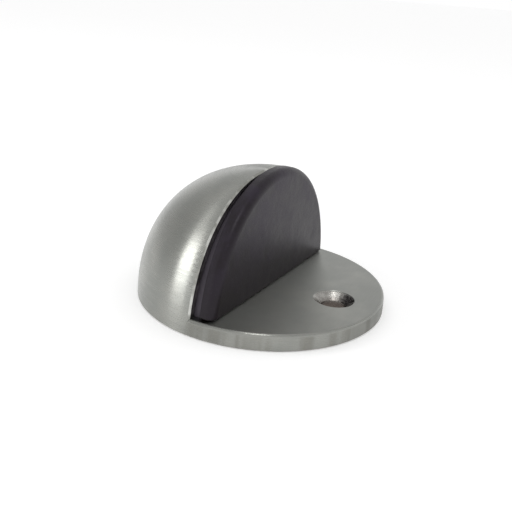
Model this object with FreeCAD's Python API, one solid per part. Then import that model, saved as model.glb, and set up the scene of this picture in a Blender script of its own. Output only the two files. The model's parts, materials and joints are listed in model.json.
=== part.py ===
"""Half-dome floor door stop: a die-cast body with a cut-away front, and a rubber bumper screwed to it.

Frame, in millimetres: the origin is the centre of the round base on the floor and +Z is up. The bumper
faces -Y, the side that the door comes from. The whole is symmetric about the plane x = 0.
"""

import FreeCAD
import Part
import math
import os

V = FreeCAD.Vector
UP = V(0, 0, 1)
RIGHT_ANGLE = math.pi / 2

# Body: a dome of revolution whose front is cut away down to a flat plate.
BASE_RADIUS = 22.5
DOME_HEIGHT = 23.55
DOME_FULLNESS = 2.22           # superellipse exponent of the dome's profile; 2 is an ellipse
PLATE_THICKNESS = 2.95
PLATE_EDGE_RADIUS = 0.45
UNDERSIDE_CHAMFER = 0.25
FACE_FOOT_Y = 1.08             # where the dome's cut face meets the plate
FACE_LEAN = 1.7                # degrees that the cut face leans forward as it rises
FACE_EDGE_CHAMFER = 0.3        # outer edge of the cut face

# Mouth in the cut face, with a narrower pocket behind it for the bumper's spigot.
LIP_AT_SIDES = 1.2             # metal left beside the mouth, at the floor
LIP_AT_TOP = 0.4               # metal left above the mouth
MOUTH_DEPTH = 1.7
POCKET_STEP = 2.0              # from the mouth's wall in to the pocket's wall

# Bumper: an arch-shaped slab in front of the cut face, a neck in the mouth and a spigot in the pocket.
SLAB_INSET_AT_SIDES = 0.85     # from the base's rim, at the floor
SLAB_ABOVE_DOME = 0.35
SLAB_THICKNESS = 2.5
SLAB_EDGE_RADIUS = 1.4
SLAB_FOOT_RADIUS = 0.3
SLAB_FOOT_GAP = 0.2            # between the slab and the plate
SLAB_STANDOFF = 1.38           # from the cut face's foot to the slab's back
ARCH_FULLNESS = 2.08           # superellipse exponent of the slab, the mouth and the pocket
NECK_GAP = 0.5                 # between the mouth's wall and the neck that joins slab and spigot
SPIGOT_CLEARANCE = 0.1
SPIGOT_SKIN = 0.25             # pocket left in front of and behind the inserts

# Hollow behind the pocket, open to the floor.
WEB_THICKNESS = 2.0
DOME_WALL = 2.0
HOLLOW_CORNER_RADIUS = 1.0

# Countersunk hole for the floor screw.
FLOOR_HOLE_SETBACK = 8.05      # from the plate's rim to the hole's axis
FLOOR_HOLE_RADIUS = 2.25
FLOOR_SINK_RADIUS = 3.65

# M3 countersunk screws that hold the bumper from below.
SCREW_X = 10.0
SCREW_CREST_RADIUS = 1.5
SCREW_ROOT_RADIUS = 1.2
SCREW_PITCH = 0.5
SCREW_LENGTH = 6.0             # from the head's top to the tip
SCREW_HEAD_RADIUS = 2.75
SCREW_HEAD_EDGE = 0.15         # straight rim of the head
SCREW_HEAD_SUNK = 0.25         # the head's top lies this far above the floor
SCREW_HOLE_CLEARANCE = 0.2     # in the plate, around the shank and the head
THREAD_CLEARANCE = 0.05        # between the crests and the insert's bore
DRIVER_SPAN = 3.0              # cross recess of the head
DRIVER_SLOT = 0.6
DRIVER_DEPTH = 1.1
DRIVER_FOOT_SPAN = 1.4

# Threaded inserts moulded into the bumper's spigot.
INSERT_RADIUS = 2.3
INSERT_FLANGE_RADIUS = 2.9
INSERT_FLANGE_THICKNESS = 0.9
INSERT_LENGTH = 4.6
MOULDED_CLEARANCE = 0.03       # bonding layer between an insert and the rubber

PROFILE_SPANS = 16             # spans of each superellipse spline
ON_PLANE = 1e-4                # how near a point counts as lying on a plane
OVERLAP = 1.0                  # how far a cutting tool starts outside what it cuts
FAR = 4 * BASE_RADIUS          # reach of the blocks that take everything on one side of a plane

MOUTH_HALF_WIDTH = BASE_RADIUS - LIP_AT_SIDES
MOUTH_HEIGHT = DOME_HEIGHT - LIP_AT_TOP
MOUTH_BACK_Y = FACE_FOOT_Y + MOUTH_DEPTH
POCKET_HALF_WIDTH = MOUTH_HALF_WIDTH - POCKET_STEP
POCKET_HEIGHT = MOUTH_HEIGHT - POCKET_STEP
POCKET_BACK_Y = MOUTH_BACK_Y + 2 * (INSERT_FLANGE_RADIUS + SPIGOT_SKIN)
HOLLOW_FRONT_Y = POCKET_BACK_Y + WEB_THICKNESS
SLAB_HALF_WIDTH = BASE_RADIUS - SLAB_INSET_AT_SIDES
SLAB_HEIGHT = DOME_HEIGHT + SLAB_ABOVE_DOME
SLAB_BACK_Y = FACE_FOOT_Y - SLAB_STANDOFF
SLAB_FRONT_Y = SLAB_BACK_Y - SLAB_THICKNESS
FLOOR_HOLE_Y = FLOOR_HOLE_SETBACK - BASE_RADIUS
SCREW_Y = (MOUTH_BACK_Y + POCKET_BACK_Y) / 2
SCREW_PLACES = {"left": V(-SCREW_X, SCREW_Y, 0), "right": V(SCREW_X, SCREW_Y, 0)}


def superellipse(half_width, height, fullness):
    """Points (across, up) of a superellipse's quarter, from its foot to its crown."""
    angles = [RIGHT_ANGLE * i / PROFILE_SPANS for i in range(PROFILE_SPANS + 1)]
    power = 2 / fullness
    return [
        (half_width * max(0.0, math.cos(a)) ** power, height * math.sin(a) ** power) for a in angles
    ]


def spline(points, start_tangent, end_tangent):
    curve = Part.BSplineCurve()
    curve.interpolate(Points=points, InitialTangent=start_tangent, FinalTangent=end_tangent)
    return curve.toShape()


def turned(outline):
    """Solid of revolution about the Z axis from a closed outline of (radius, height) points."""
    points = [V(radius, 0, height) for radius, height in outline]
    return Part.Face(Part.makePolygon(points + points[:1])).revolve(V(0, 0, 0), UP, 360)


def slice_between(low, high):
    """Everything between two heights."""
    return Part.makeBox(2 * FAR, 2 * FAR, high - low, V(-FAR, -FAR, low))


def face_y(height):
    """Where the leaning plane of the cut face lies at a height."""
    return FACE_FOOT_Y - math.tan(math.radians(FACE_LEAN)) * (height - PLATE_THICKNESS)


def behind_face():
    """Everything behind the leaning plane of the cut face."""
    corners = [
        V(-FAR, face_y(-OVERLAP), -OVERLAP),
        V(-FAR, FAR, -OVERLAP),
        V(-FAR, FAR, FAR),
        V(-FAR, face_y(FAR), FAR),
    ]
    return Part.Face(Part.makePolygon(corners + corners[:1])).extrude(V(2 * FAR, 0, 0))


def dome(radius, height):
    """Dome on the floor. Its seam is at the back, so that the cut face's edge is one curve."""
    points = [V(0, across, up) for across, up in superellipse(radius, height, DOME_FULLNESS)]
    profile = spline(points, UP, V(0, -1, 0))
    foot = Part.makeLine(V(0, 0, 0), points[0])
    axis = Part.makeLine(points[-1], V(0, 0, 0))
    return Part.Face(Part.Wire([foot, profile, axis])).revolve(V(0, 0, 0), UP, 360)


def arch(half_width, height, front_y, back_y, foot_z=PLATE_THICKNESS):
    """Arch-shaped slab between two planes across Y, standing at a height."""
    quarter = superellipse(half_width, height, ARCH_FULLNESS)
    left = [V(-across, front_y, up) for across, up in quarter]
    right = [V(across, front_y, up) for across, up in reversed(quarter[:-1])]
    crown = spline(left + right, UP, -UP)
    foot = Part.makeLine(right[-1], left[0])
    slab = Part.Face(Part.Wire([crown, foot])).extrude(V(0, back_y - front_y, 0))
    return slab.common(slice_between(foot_z, FAR))


def edges_where(shape, holds):
    """Edges of which every point passes a test."""
    return [edge for edge in shape.Edges if all(holds(point) for point in edge.discretize(9))]


def crest(edge):
    return max(point.z for point in edge.discretize(33))


def arched(edges, height):
    """Of the edges in one plane, the arch that reaches a height."""
    return [edge for edge in edges if abs(crest(edge) - height) < LIP_AT_TOP / 2]


def edges_on_face(shape):
    return edges_where(shape, lambda p: abs(p.y - face_y(p.z)) < ON_PLANE)


def plate():
    """The dome's lowest slice, rounded at its top edge and eased underneath."""
    disc = dome(BASE_RADIUS, DOME_HEIGHT).common(slice_between(0, PLATE_THICKNESS))
    rim = edges_where(disc, lambda p: p.z > PLATE_THICKNESS - ON_PLANE)
    disc = disc.makeFillet(PLATE_EDGE_RADIUS, rim)
    return disc.makeChamfer(UNDERSIDE_CHAMFER, edges_where(disc, lambda p: p.z < ON_PLANE))


def half_dome():
    """The dome behind the cut face. It starts inside the plate, so that their skins run together."""
    half = dome(BASE_RADIUS, DOME_HEIGHT).common(slice_between(PLATE_THICKNESS / 2, FAR))
    half = half.common(behind_face())
    return half.makeChamfer(FACE_EDGE_CHAMFER, arched(edges_on_face(half), DOME_HEIGHT))


def outer_form():
    return plate().fuse(half_dome()).removeSplitter()


def mouth():
    return arch(MOUTH_HALF_WIDTH, MOUTH_HEIGHT, SLAB_BACK_Y, MOUTH_BACK_Y)


def spigot_pocket():
    return arch(POCKET_HALF_WIDTH, POCKET_HEIGHT, SLAB_BACK_Y, POCKET_BACK_Y)


def rear_hollow():
    inner = dome(BASE_RADIUS - DOME_WALL, DOME_HEIGHT - DOME_WALL)
    front = Part.makeBox(2 * FAR, FAR + HOLLOW_FRONT_Y, FAR, V(-FAR, -FAR, -OVERLAP))
    hollow = inner.cut(front)
    corner = edges_where(hollow, lambda p: abs(p.y - HOLLOW_FRONT_Y) < ON_PLANE)
    corner = [edge for edge in corner if crest(edge) > PLATE_THICKNESS]
    return hollow.makeFillet(HOLLOW_CORNER_RADIUS, corner)


def countersink(hole_radius, sink_radius, rim, reach):
    """Tool for a hole with a 90 degree countersink. Its mouth is at height 0 and it runs upwards."""
    outline = [
        (0, -OVERLAP),
        (sink_radius, -OVERLAP),
        (sink_radius, rim),
        (hole_radius, rim + sink_radius - hole_radius),
        (hole_radius, reach),
        (0, reach),
    ]
    return turned(outline)


def floor_screw_hole():
    tool = countersink(FLOOR_HOLE_RADIUS, FLOOR_SINK_RADIUS, 0, PLATE_THICKNESS + OVERLAP)
    tool.rotate(V(0, 0, 0), V(1, 0, 0), 180)
    tool.translate(V(0, FLOOR_HOLE_Y, PLATE_THICKNESS))
    return tool


def bumper_screw_hole(place):
    tool = countersink(
        SCREW_CREST_RADIUS + SCREW_HOLE_CLEARANCE,
        SCREW_HEAD_RADIUS + SCREW_HOLE_CLEARANCE,
        SCREW_HEAD_SUNK + SCREW_HEAD_EDGE,
        PLATE_THICKNESS + OVERLAP,
    )
    tool.translate(place)
    return tool


def body_casting():
    tools = [mouth(), spigot_pocket(), rear_hollow(), floor_screw_hole()]
    tools += [bumper_screw_hole(place) for place in SCREW_PLACES.values()]
    return outer_form().cut(tools)


def bumper_insert(place, margin=0.0, bore=SCREW_CREST_RADIUS + THREAD_CLEARANCE):
    """Flanged insert that stands on the plate. A margin swells it into the tool for its seat."""
    flange = INSERT_FLANGE_RADIUS + margin
    waist = INSERT_RADIUS + margin
    low = PLATE_THICKNESS
    high = PLATE_THICKNESS + INSERT_LENGTH + margin
    lower_step = low + INSERT_FLANGE_THICKNESS + margin
    upper_step = high - INSERT_FLANGE_THICKNESS - 2 * margin
    outline = [
        (bore, low),
        (flange, low),
        (flange, lower_step),
        (waist, lower_step),
        (waist, upper_step),
        (flange, upper_step),
        (flange, high),
        (bore, high),
    ]
    insert = turned(outline)
    insert.translate(place)
    return insert


def bumper_slab():
    foot_z = PLATE_THICKNESS + SLAB_FOOT_GAP
    slab = arch(SLAB_HALF_WIDTH, SLAB_HEIGHT, SLAB_FRONT_Y, SLAB_BACK_Y, foot_z)
    front = edges_where(slab, lambda p: abs(p.y - SLAB_FRONT_Y) < ON_PLANE)
    slab = slab.makeFillet(SLAB_EDGE_RADIUS, arched(front, SLAB_HEIGHT))
    foot = edges_where(slab, lambda p: abs(p.y - SLAB_FRONT_Y) + abs(p.z - foot_z) < ON_PLANE)
    return slab.makeFillet(SLAB_FOOT_RADIUS, foot)


def bumper_neck():
    """The step behind the slab, which seats on the mouth's back wall."""
    return arch(MOUTH_HALF_WIDTH - NECK_GAP, MOUTH_HEIGHT - NECK_GAP, SLAB_BACK_Y, MOUTH_BACK_Y)


def bumper_spigot():
    return arch(
        POCKET_HALF_WIDTH - SPIGOT_CLEARANCE,
        POCKET_HEIGHT - SPIGOT_CLEARANCE,
        MOUTH_BACK_Y,
        POCKET_BACK_Y - SPIGOT_CLEARANCE,
    )


def bumper():
    seats = [bumper_insert(place, MOULDED_CLEARANCE, 0) for place in SCREW_PLACES.values()]
    return bumper_slab().fuse([bumper_neck(), bumper_spigot()]).cut(seats)


def thread_outline(start, end):
    """Crests and roots of the thread, as rings along the shank."""
    outline = []
    for turn in range(int((end - start) / SCREW_PITCH)):
        root = start + turn * SCREW_PITCH
        outline.append((SCREW_ROOT_RADIUS, root))
        outline.append((SCREW_CREST_RADIUS, root + SCREW_PITCH / 2))
    return outline


def driver_recess():
    """Cross-shaped taper in the head, opening towards the floor."""
    bottom = SCREW_HEAD_SUNK + DRIVER_DEPTH
    side = [
        V(-DRIVER_SPAN / 2, -DRIVER_SLOT / 2, 0),
        V(DRIVER_SPAN / 2, -DRIVER_SLOT / 2, 0),
        V(DRIVER_FOOT_SPAN / 2, -DRIVER_SLOT / 2, bottom),
        V(-DRIVER_FOOT_SPAN / 2, -DRIVER_SLOT / 2, bottom),
    ]
    wing = Part.Face(Part.makePolygon(side + side[:1])).extrude(V(0, DRIVER_SLOT, 0))
    crossing = wing.copy()
    crossing.rotate(V(0, 0, 0), UP, 90)
    return wing.fuse(crossing)


def bumper_screw(place):
    head = SCREW_HEAD_SUNK
    rim = head + SCREW_HEAD_EDGE
    neck = rim + SCREW_HEAD_RADIUS - SCREW_ROOT_RADIUS
    tip = head + SCREW_LENGTH
    outline = [(0, head), (SCREW_HEAD_RADIUS, head), (SCREW_HEAD_RADIUS, rim)]
    outline += thread_outline(neck, tip)
    outline += [(SCREW_ROOT_RADIUS, tip), (0, tip)]
    screw = turned(outline).cut(driver_recess())
    screw.translate(place)
    return screw


def all_parts():
    parts = {"body_casting": body_casting(), "bumper": bumper()}
    for side, place in SCREW_PLACES.items():
        parts[f"bumper_insert_{side}"] = bumper_insert(place)
        parts[f"bumper_screw_{side}"] = bumper_screw(place)
    return parts


os.makedirs("parts", exist_ok=True)
for name, shape in all_parts().items():
    solid = shape.Solids[0]
    solid.exportStep(f"parts/{name}.step")
    print(name, "solids", len(shape.Solids), "valid", solid.isValid(), "mm3", round(solid.Volume, 1))
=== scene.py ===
"""Looks for a half-dome floor door stop: satin nickel casting, black rubber bumper, its screws and inserts.

Everything is in metres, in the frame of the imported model: +Z up, the bumper facing -Y.
"""
import json
import math

import bpy
from mathutils import Matrix, Quaternion, Vector


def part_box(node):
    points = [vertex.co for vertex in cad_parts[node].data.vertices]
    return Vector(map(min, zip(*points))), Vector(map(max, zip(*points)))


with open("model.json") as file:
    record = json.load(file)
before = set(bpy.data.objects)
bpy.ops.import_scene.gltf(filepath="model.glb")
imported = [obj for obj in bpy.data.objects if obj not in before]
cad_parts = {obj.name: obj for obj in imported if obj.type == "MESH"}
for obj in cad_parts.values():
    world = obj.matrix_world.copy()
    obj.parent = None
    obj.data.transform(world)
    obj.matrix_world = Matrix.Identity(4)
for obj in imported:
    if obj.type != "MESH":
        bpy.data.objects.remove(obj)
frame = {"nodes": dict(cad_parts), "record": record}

MM = 0.001
HOLE_EDGE = (3.45, 3.6)  # radii in mm over which the cast finish of the hole ends
PLATE_TOP = (3.2, 3.8)  # heights in mm over which the plate's brushing gives way to the dome's
MACHINING_PITCH = 38.0  # radians of ring pattern per mm
FLOOR_SIDES, FLOOR_RADIUS = 96, 12.0
FLOOR_DROP = 0.05 * MM  # keeps the floor from flickering through the underside
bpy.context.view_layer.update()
nodes = frame["nodes"]
mounts = {mount["name"]: mount for mount in frame["record"]["mounts"]}


# ---------------------------------------------------------------- node helpers

class Graph:
    """A material's node tree, with short calls for the nodes used here."""

    def __init__(self, name):
        self.material = bpy.data.materials.new(name)
        self.material.use_nodes = True
        self.tree = self.material.node_tree
        self.shader = self.tree.nodes["Principled BSDF"]
        coords = self.tree.nodes.new("ShaderNodeTexCoord")
        self.place = self.scaled(coords.outputs["Object"], (1 / MM,) * 3)
        split = self.tree.nodes.new("ShaderNodeSeparateXYZ")
        self.link(self.place, split.inputs[0])
        self.x, self.y, self.z = split.outputs
        facing = self.tree.nodes.new("ShaderNodeSeparateXYZ")
        self.link(self.tree.nodes.new("ShaderNodeNewGeometry").outputs["Normal"], facing.inputs[0])
        self.facing_up = facing.outputs["Z"]
        self.facing_back = facing.outputs["Y"]

    def link(self, output, socket):
        self.tree.links.new(output, socket)

    def put(self, socket, value):
        if isinstance(value, bpy.types.NodeSocket):
            self.link(value, socket)
        else:
            socket.default_value = value

    def scaled(self, vector, scale):
        mapping = self.tree.nodes.new("ShaderNodeMapping")
        mapping.inputs["Scale"].default_value = scale
        self.link(vector, mapping.inputs["Vector"])
        return mapping.outputs["Vector"]

    def math(self, operation, *values):
        node = self.tree.nodes.new("ShaderNodeMath")
        node.operation = operation
        for socket, value in zip(node.inputs, values):
            self.put(socket, value)
        return node.outputs[0]

    def noise(self, scale, detail=3.0, roughness=0.55, stretch=(1, 1, 1), distortion=0.0):
        """Noise between about 0.25 and 0.75. The scale is in features per millimetre."""
        node = self.tree.nodes.new("ShaderNodeTexNoise")
        node.inputs["Scale"].default_value = scale
        node.inputs["Detail"].default_value = detail
        node.inputs["Roughness"].default_value = roughness
        node.inputs["Distortion"].default_value = distortion
        self.link(self.scaled(self.place, stretch), node.inputs["Vector"])
        return node.outputs["Fac"]

    def ramp(self, value, low, lit_height, to_low=0.0, to_high=1.0):
        """The value's span from low to high, eased into a new span."""
        node = self.tree.nodes.new("ShaderNodeMapRange")
        node.interpolation_type = "SMOOTHSTEP"
        self.put(node.inputs["Value"], value)
        for socket, number in zip(("From Min", "From Max", "To Min", "To Max"), (low, lit_height, to_low, to_high)):
            node.inputs[socket].default_value = number
        return node.outputs["Result"]

    def blend(self, share, first, second):
        """Two numbers or two colours mixed by a share between 0 and 1."""
        node = self.tree.nodes.new("ShaderNodeMix")
        colour = isinstance(first, tuple) or getattr(first, "type", "") == "RGBA"
        node.data_type = "RGBA" if colour else "FLOAT"
        sockets = [s for s in node.inputs if s.enabled and s.name in ("A", "B", "Factor")]
        self.put(next(s for s in sockets if s.name == "Factor"), share)
        self.put(next(s for s in sockets if s.name == "A"), first)
        self.put(next(s for s in sockets if s.name == "B"), second)
        return next(s for s in node.outputs if s.enabled)

    def distance_to_axis(self, centre):
        """Distance in millimetres from an upright axis through a point."""
        along = self.math("SUBTRACT", self.x, centre[0] / MM)
        across = self.math("SUBTRACT", self.y, centre[1] / MM)
        squares = self.math("ADD", self.math("POWER", along, 2.0), self.math("POWER", across, 2.0))
        return self.math("SQRT", squares)

    def bump(self, height, depth_mm):
        """Relief whose full span of height, 0 to 1, is the given depth."""
        node = self.tree.nodes.new("ShaderNodeBump")
        node.inputs["Strength"].default_value = 1.0
        node.inputs["Distance"].default_value = depth_mm * MM
        self.link(height, node.inputs["Height"])
        self.link(node.outputs["Normal"], self.shader.inputs["Normal"])

    def finish(self, metallic, colour, roughness):
        self.shader.inputs["Metallic"].default_value = metallic
        self.put(self.shader.inputs["Base Color"], colour)
        self.put(self.shader.inputs["Roughness"], roughness)
        return self.material


# ---------------------------------------------------------------- materials

def satin_nickel():
    """Brushed round the dome and along the plate, as cast in the hole and on faces that look down, with
    painted shade deep in the hole, patchy wear and a painted highlight on the cut face's edge, and painted
    reflection patches on the front of the rim.
    """
    g = Graph("satin_nickel")
    hole = Vector(mounts["floor_screw"]["pos_m"])
    near_hole = g.ramp(g.distance_to_axis(hole), *HOLE_EDGE, 1.0, 0.0)
    in_hole = g.math("MULTIPLY", near_hole, g.ramp(g.z, 0.02, 0.1))
    downward = g.ramp(g.facing_up, -0.5, -0.3, 1.0, 0.0)
    raw = g.math("MAXIMUM", in_hole, downward)
    flat = g.math("MULTIPLY", g.ramp(g.facing_up, 0.97, 0.995), g.ramp(g.z, *PLATE_TOP, 1.0, 0.0))
    cut_face = g.ramp(g.facing_back, -0.97, -0.9, 1.0, 0.0)
    face_edge_wear_and_highlight = g.math("MULTIPLY", g.ramp(g.facing_back, -0.6, -0.3, 1.0, 0.0), g.ramp(g.z, 3.3, 4.0))

    round_brush = g.noise(1.0, 4.0, 0.6, (0.14, 0.14, 9.0))
    plate_brush = g.noise(1.0, 4.0, 0.6, (0.3, 11.0, 1.0))
    brush = g.blend(flat, round_brush, plate_brush)
    grain = g.noise(5.0, 2.0)
    pits = g.noise(1.3, 5.0, 0.7)
    cloud = g.noise(0.14, 3.0, 0.5)

    polished = g.blend(g.ramp(cloud, 0.35, 0.65), (0.318, 0.320, 0.298, 1), (0.282, 0.288, 0.270, 1))
    # The edge round the cut face is lighter in patches: partly edge wear, partly a painted highlight where
    # the rounded lip catches the light.
    wear_and_highlight_noise = g.noise(0.35, 2.0, 0.5)
    worn_and_lit = g.blend(g.ramp(wear_and_highlight_noise, 0.42, 0.62), (0.30, 0.30, 0.275, 1), (0.60, 0.60, 0.57, 1))
    polished = g.blend(face_edge_wear_and_highlight, polished, worn_and_lit)
    # Darker vertical patches on the front of the plate's rim: painted reflection of uneven surroundings.
    rim = g.math("MULTIPLY", g.ramp(g.z, 2.3, 2.7, 1.0, 0.0), g.ramp(g.y, 0.0, 3.0, 1.0, 0.0))
    rim_reflection_patches = g.math("MULTIPLY", rim, g.ramp(g.noise(0.4, 2.0, 0.5, (1, 1, 0.12)), 0.40, 0.60, 0.0, 0.6))
    polished = g.blend(rim_reflection_patches, polished, (0.205, 0.20, 0.18, 1))
    cast = g.blend(g.ramp(pits, 0.30, 0.72), (0.27, 0.26, 0.245, 1), (0.46, 0.45, 0.425, 1))
    # Darker and browner deeper down the hole: painted shade in the recess.
    hole_depth_shade = g.math("MULTIPLY", in_hole, g.ramp(g.z, 0.8, 2.4, 1.0, 0.0))
    cast = g.blend(hole_depth_shade, cast, (0.16, 0.135, 0.12, 1))
    colour = g.blend(raw, polished, cast)
    shine = g.math("ADD", g.ramp(brush, 0.3, 0.7, 0.24, 0.33), g.ramp(cloud, 0.3, 0.7, -0.02, 0.02))
    duller = g.math("ADD", g.math("MULTIPLY", flat, 0.09), g.math("MULTIPLY", cut_face, 0.25))
    shine = g.math("ADD", shine, duller)
    roughness = g.blend(raw, shine, g.ramp(pits, 0.3, 0.7, 0.16, 0.32))

    fine = g.math("ADD", g.math("MULTIPLY", brush, 0.0022), g.math("MULTIPLY", grain, 0.0012))
    rough = g.math("MULTIPLY", pits, 0.05)
    g.bump(g.blend(raw, fine, rough), 1.0)
    tangent = g.tree.nodes.new("ShaderNodeTangent")
    tangent.direction_type = "RADIAL"
    tangent.axis = "Z"
    curved = g.math("SUBTRACT", 1.0, flat)
    g.link(g.blend(curved, (1, 0, 0, 1), tangent.outputs[0]), g.shader.inputs["Tangent"])
    g.shader.inputs["Anisotropic"].default_value = 0.9
    g.shader.inputs["Anisotropic Rotation"].default_value = 0.25
    return g.finish(1.0, colour, roughness)


def black_rubber():
    """Moulded rubber: purple-grey with soft blotches and dusty patches, lighter towards the top as painted
    light, darker and browner near the plate as painted shade, with painted light lifting the groove.
    """
    g = Graph("black_rubber")
    grain = g.noise(5.0, 3.0, 0.6)
    bloom = g.noise(0.22, 5.0, 0.62)
    dust = g.noise(2.2, 4.0, 0.7)
    # The blotches get lighter towards the top and the rubber darker and browner near the plate: painted light
    # on the upper face and painted shade near the plate; the blotches themselves are the rubber's own
    # mottling.
    lit_height = g.ramp(g.z, 4.0, 19.0)
    light_by_height = g.math("ADD", 0.25, g.math("MULTIPLY", lit_height, 0.75))
    blotches_with_painted_light = g.math("MULTIPLY", g.ramp(bloom, 0.36, 0.66), light_by_height)
    colour = g.blend(blotches_with_painted_light, (0.0065, 0.0042, 0.0050, 1), (0.0150, 0.0105, 0.0180, 1))
    colour = g.blend(g.ramp(dust, 0.58, 0.70, 0.0, 0.35), colour, (0.032, 0.025, 0.034, 1))
    # Lighter in the groove behind the front face: painted light that lifts the groove's shade.
    colour = g.blend(g.ramp(g.y, -0.35, 0.0), colour, (0.085, 0.075, 0.090, 1))
    roughness = g.math("ADD", g.ramp(bloom, 0.3, 0.7, 0.36, 0.46), g.ramp(grain, 0.3, 0.7, -0.05, 0.05))
    relief = g.math("ADD", g.math("MULTIPLY", grain, 0.010), g.math("MULTIPLY", bloom, 0.11))
    g.bump(relief, 1.0)
    g.shader.inputs["Specular IOR Level"].default_value = 0.33
    g.shader.inputs["Specular Tint"].default_value = (0.92, 0.87, 1.0, 1)
    return g.finish(0.0, colour, roughness)


def turned_metal(name, dark, bright, axes):
    """Machined finish with rings round each of some upright axes."""
    g = Graph(name)
    left = g.distance_to_axis(axes[0])
    right = g.distance_to_axis(axes[1])
    ring = g.math("SINE", g.math("MULTIPLY", g.math("MINIMUM", left, right), MACHINING_PITCH))
    stain = g.noise(0.9, 4.0, 0.6)
    scuff = g.noise(3.0, 4.0, 0.65)
    colour = g.blend(g.ramp(stain, 0.35, 0.65), dark, bright)
    roughness = g.math("ADD", g.ramp(scuff, 0.3, 0.7, 0.22, 0.38), g.math("MULTIPLY", ring, 0.02))
    g.bump(g.math("ADD", g.math("MULTIPLY", ring, 0.002), g.math("MULTIPLY", scuff, 0.006)), 1.0)
    return g.finish(1.0, colour, roughness)


def finish_pieces():
    axes = [sum(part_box(f"bumper_screw_{side}"), Vector()) / 2 for side in ("left", "right")]
    zinc = turned_metal("screw_zinc", (0.40, 0.41, 0.43, 1), (0.62, 0.62, 0.60, 1), axes)
    brass = turned_metal("insert_brass", (0.52, 0.37, 0.16, 1), (0.72, 0.55, 0.27, 1), axes)
    looks = {
        "body_casting": satin_nickel(),
        "bumper": black_rubber(),
        "bumper_screw_left": zinc,
        "bumper_screw_right": zinc,
        "bumper_insert_left": brass,
        "bumper_insert_right": brass,
    }
    for name, material in looks.items():
        mesh = nodes[name].data
        mesh.materials.clear()
        mesh.materials.append(material)


# ---------------------------------------------------------------- studio

def direction(azimuth, elevation):
    """Unit vector from the object towards a place round it. Azimuth 0 is in front, at -Y."""
    a, e = math.radians(azimuth), math.radians(elevation)
    return Vector((math.sin(a) * math.cos(e), -math.cos(a) * math.cos(e), math.sin(e)))


def floor():
    mesh = bpy.data.meshes.new("floor")
    turns = [math.tau * i / FLOOR_SIDES for i in range(FLOOR_SIDES)]
    rim = [(FLOOR_RADIUS * math.cos(t), FLOOR_RADIUS * math.sin(t), -FLOOR_DROP) for t in turns]
    mesh.from_pydata(rim, [], [tuple(range(FLOOR_SIDES))])
    plane = bpy.data.objects.new("floor", mesh)
    bpy.context.scene.collection.objects.link(plane)
    material = bpy.data.materials.new("floor")
    material.use_nodes = True
    shader = material.node_tree.nodes["Principled BSDF"]
    shader.inputs["Base Color"].default_value = (0.92, 0.92, 0.92, 1)
    shader.inputs["Emission Color"].default_value = (1, 1, 1, 1)
    shader.inputs["Emission Strength"].default_value = 0.25
    shader.inputs["Roughness"].default_value = 0.9
    shader.inputs["Specular IOR Level"].default_value = 0.2
    mesh.materials.append(material)


def softbox(name, azimuth, elevation, distance, width, height, radiance, tilt=0.0):
    """Rectangular light that faces the object, with a given brightness per area."""
    data = bpy.data.lights.new(name, "AREA")
    data.shape = "RECTANGLE"
    data.size, data.size_y = width, height
    data.energy = radiance * math.pi * width * height
    lamp = bpy.data.objects.new(name, data)
    way = direction(azimuth, elevation)
    lamp.location = way * distance
    lamp.rotation_mode = "QUATERNION"
    lamp.rotation_quaternion = way.to_track_quat("Z", "Y") @ Quaternion((0, 0, 1), math.radians(tilt))
    lamp.visible_camera = False
    bpy.context.scene.collection.objects.link(lamp)


def sky():
    """Plain pale surroundings, greyer overhead, behind the object and beside the tall softbox."""
    world = bpy.data.worlds.new("studio")
    world.use_nodes = True
    tree = world.node_tree
    way = tree.nodes.new("ShaderNodeTexCoord").outputs["Generated"]
    greyer = (
        (direction(0, 90), 0.10, 0.60, 0.76),
        (direction(180, 0), 0.70, 0.97, 0.66),
        (direction(-119, 14), 0.965, 0.995, 0.35),
    )
    strength = None
    for towards, start, full, share in greyer:
        facing = tree.nodes.new("ShaderNodeVectorMath")
        facing.operation = "DOT_PRODUCT"
        facing.inputs[1].default_value = towards
        tree.links.new(way, facing.inputs[0])
        dim = tree.nodes.new("ShaderNodeMapRange")
        dim.interpolation_type = "SMOOTHSTEP"
        for socket, number in zip(("From Min", "From Max", "To Min", "To Max"), (start, full, 1.0, share)):
            dim.inputs[socket].default_value = number
        tree.links.new(facing.outputs["Value"], dim.inputs["Value"])
        if strength is None:
            strength = dim.outputs["Result"]
            continue
        both = tree.nodes.new("ShaderNodeMath")
        both.operation = "MULTIPLY"
        tree.links.new(strength, both.inputs[0])
        tree.links.new(dim.outputs["Result"], both.inputs[1])
        strength = both.outputs[0]
    tree.links.new(strength, tree.nodes["Background"].inputs["Strength"])
    tree.nodes["Background"].inputs["Color"].default_value = (1, 1, 1, 1)
    bpy.context.scene.world = world


def lights():
    softbox("side_strip", -138, 4, 0.60, 0.15, 0.64, 4.2, tilt=11)
    softbox("high_spot", -170, 48, 0.60, 0.06, 0.06, 1.5)
    softbox("camera_side", -63, 68, 0.60, 0.14, 0.14, 5.5)


def camera():
    azimuth, elevation, roll = -62.949, 21.004, math.radians(4.672)
    distance, lens = 0.13009, 49.24
    aim_right, aim_up = -0.00081, 0.006833
    back = direction(azimuth, elevation)
    level = Vector((math.cos(math.radians(azimuth)), math.sin(math.radians(azimuth)), 0))
    upright = back.cross(level)
    right = math.cos(roll) * level + math.sin(roll) * upright
    up = math.cos(roll) * upright - math.sin(roll) * level
    data = bpy.data.cameras.new("camera")
    data.sensor_width, data.lens = 36.0, lens
    data.clip_start, data.clip_end = 0.005, 50.0
    eye = bpy.data.objects.new("camera", data)
    eye.matrix_world = Matrix.Translation(right * aim_right + up * aim_up + back * distance) @ Matrix(
        (right, up, back)
    ).transposed().to_4x4()
    bpy.context.scene.collection.objects.link(eye)
    bpy.context.scene.camera = eye


finish_pieces()
floor()
sky()
lights()
camera()
bpy.context.scene.view_settings.view_transform = "Standard"
